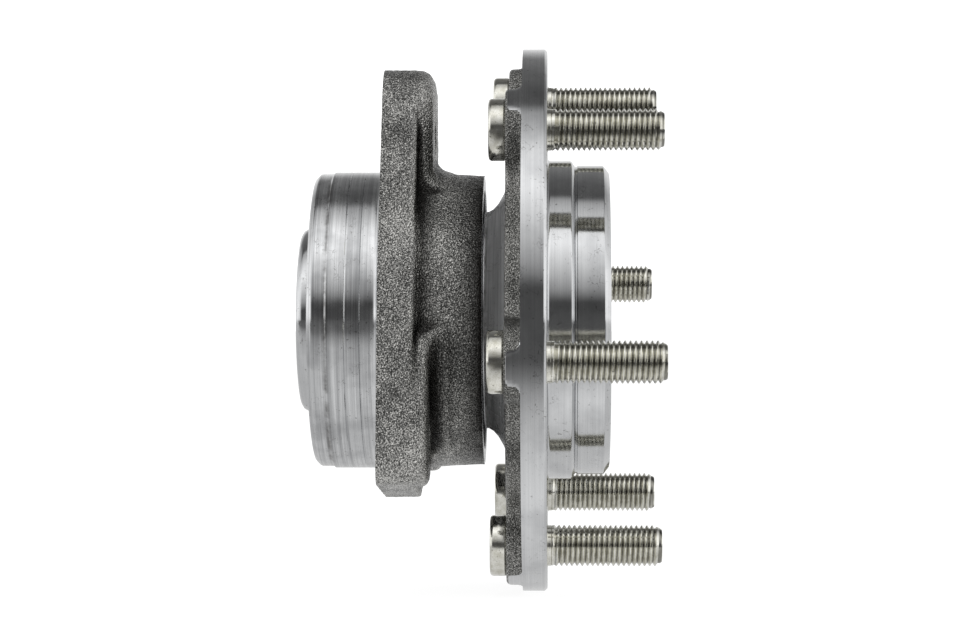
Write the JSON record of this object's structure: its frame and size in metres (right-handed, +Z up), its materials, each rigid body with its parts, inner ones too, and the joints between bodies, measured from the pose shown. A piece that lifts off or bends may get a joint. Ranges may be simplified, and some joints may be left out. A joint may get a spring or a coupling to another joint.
{
  "type": "wheel hub bearing unit",
  "caption": "Flanged wheel hub bearing unit: a fixed outer ring with an eared knuckle flange, and a turning hub with disc and wheel pilots, pressed wheel studs and a splined bore.",
  "frame": {"origin": "centre of the wheel flange's outboard disc face, on the hub axis", "axes": "+Y is the hub axis, pointing outboard to the wheel; +Z is up as fitted and +X is across"},
  "size_m": [0.161, 0.1064, 0.161],
  "materials": {
    "forged_steel": "shot-blasted forging with turned seats",
    "turned_steel": "turned steel with forged back",
    "bearing_steel": "ground and honed",
    "zinc_plate": "clear zinc plated",
    "cage_steel": "pressed steel",
    "seal_steel": "pressed stainless steel",
    "seal_rubber": "moulded nitrile rubber"
  },
  "bodies": {
    "outer_ring_body": {"outer_ring": "forged_steel", "outboard_seal_case": "seal_steel", "outboard_seal_lips": "seal_rubber", "inboard_seal_case": "seal_steel", "inboard_seal_lips": "seal_rubber"},
    "hub_body": {"hub": "turned_steel", "outboard_inner_ring": "bearing_steel", "inboard_inner_ring": "bearing_steel", "wheel_stud_1": "zinc_plate", "wheel_stud_2": "zinc_plate", "wheel_stud_3": "zinc_plate", "wheel_stud_4": "zinc_plate", "wheel_stud_5": "zinc_plate", "wheel_stud_6": "zinc_plate", "inboard_slinger": "seal_steel", "encoder_ring": "seal_rubber"},
    "outboard_roller_row": {"outboard_cage": "cage_steel", "outboard_rollers": "bearing_steel"},
    "inboard_roller_row": {"inboard_cage": "cage_steel", "inboard_rollers": "bearing_steel"}
  },
  "joints": [
    {"name": "hub_spin", "type": "hinge", "parent": "outer_ring_body", "child": "hub_body", "pos_m": [0, 0, 0], "axis": [0, 1, 0], "continuous": true},
    {"name": "outboard_row_spin", "type": "hinge", "parent": "outer_ring_body", "child": "outboard_roller_row", "pos_m": [0, 0, 0], "axis": [0, 1, 0], "continuous": true},
    {"name": "inboard_row_spin", "type": "hinge", "parent": "outer_ring_body", "child": "inboard_roller_row", "pos_m": [0, 0, 0], "axis": [0, 1, 0], "continuous": true}
  ],
  "couplings": [
    {"joint": "outboard_row_spin", "follows": "hub_spin", "ratio": 0.436},
    {"joint": "inboard_row_spin", "follows": "hub_spin", "ratio": 0.436}
  ]
}
